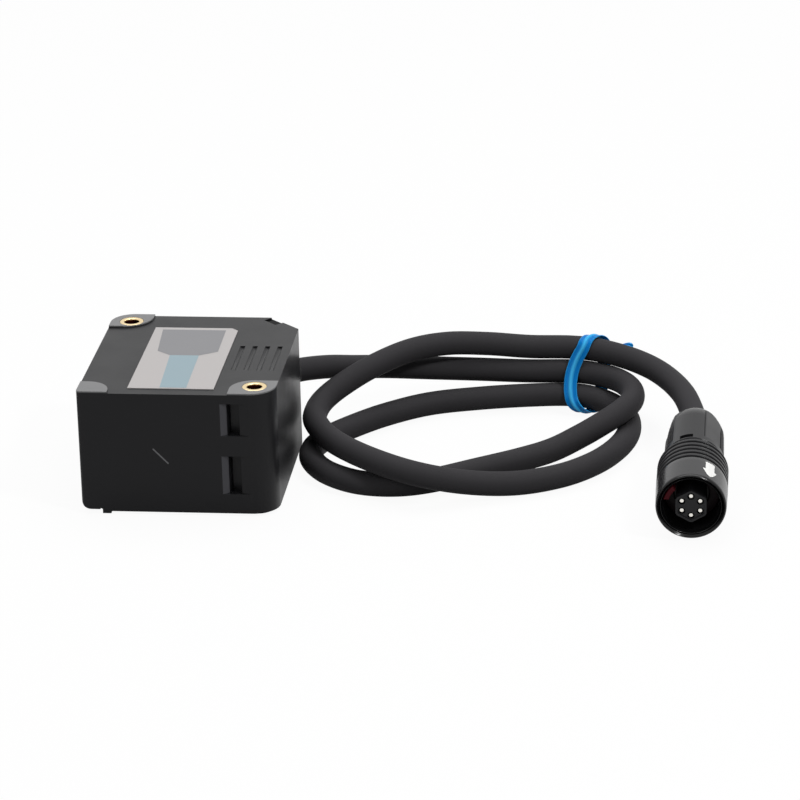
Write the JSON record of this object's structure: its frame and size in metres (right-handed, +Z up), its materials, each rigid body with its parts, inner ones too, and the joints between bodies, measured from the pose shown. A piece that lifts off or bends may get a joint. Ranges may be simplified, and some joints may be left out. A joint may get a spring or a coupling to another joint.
{
  "type": "laser displacement sensor",
  "caption": "Compact laser displacement sensor head in a charcoal case with two screw sleeves, a captive lead in two tied loops and a round push-pull plug.",
  "frame": {"origin": "middle of the housing's box in plan, on the plane of its feet", "axes": "+X from the optical side to the lead's side, +Y from the pocketed face to the back, +Z up towards the label"},
  "size_m": [0.137, 0.0838, 0.0277],
  "materials": {
    "case_plastic": "fine satin grain, charcoal",
    "cover_plastic": "fine satin grain, charcoal",
    "bezel_plastic": "fine satin grain, near black",
    "seal_rubber": "smooth moulded",
    "screw_steel": "nickel plated",
    "laser_glass": "polished, anti-reflection coated",
    "receiver_glass": "polished, red filter",
    "sleeve_brass": "turned, yellow plated",
    "label_film": "printed film, satin",
    "smoked_plastic": "smoked, polished",
    "led_resin": "clear resin",
    "block_aluminium": "milled",
    "holder_brass": "turned",
    "lens_glass": "polished",
    "can_brass": "gold plated",
    "board_laminate": "solder mask",
    "black_aluminium": "black anodised",
    "chip_resin": "moulded",
    "connector_plastic": "moulded",
    "core_plastic": "extruded",
    "gland_rubber": "smooth moulded",
    "lead_jacket": "matt extruded jacket",
    "tie_plastic": "glossy azure strip",
    "plug_plastic": "glossy black moulding",
    "shell_plastic": "glossy black moulding",
    "insert_plastic": "moulded",
    "contact_gold": "gold plated",
    "red_rubber": "smooth moulded"
  },
  "bodies": {
    "head": {"case": "case_plastic", "base_cover": "cover_plastic", "cover_seal": "seal_rubber", "cover_screws": "screw_steel", "front_bezel": "bezel_plastic", "laser_window": "laser_glass", "receiver_window": "receiver_glass", "mount_sleeve_front": "sleeve_brass", "mount_sleeve_rear": "sleeve_brass", "label": "label_film", "indicator_lens": "smoked_plastic", "indicator_led": "led_resin", "optics_block": "block_aluminium", "diode_holder": "holder_brass", "collimator_lens": "lens_glass", "laser_diode": "can_brass", "laser_board": "board_laminate", "lens_holder": "black_aluminium", "receiver_lens": "lens_glass", "lens_ring": "black_aluminium", "position_detector": "chip_resin", "detector_board": "board_laminate", "main_board": "board_laminate", "board_screws": "screw_steel", "board_connector": "connector_plastic", "lead_cores": "core_plastic", "cable_gland": "gland_rubber", "lead": "lead_jacket", "cable_tie": "tie_plastic", "plug_shell": "shell_plastic", "plug_insert": "insert_plastic", "insert_base": "insert_plastic", "plug_contacts": "contact_gold", "plug_seal": "red_rubber", "plug_back_nut": "plug_plastic", "plug_cable_seal": "seal_rubber"},
    "coupling_sleeve": {"plug_sleeve": "plug_plastic"}
  },
  "joints": [
    {"name": "coupling_slide", "type": "slide", "parent": "head", "child": "coupling_sleeve", "axis": [-0.0104, 0.9969, 0.0785], "range_m": [0, 0.002], "stiffness_N_per_m": 800}
  ]
}
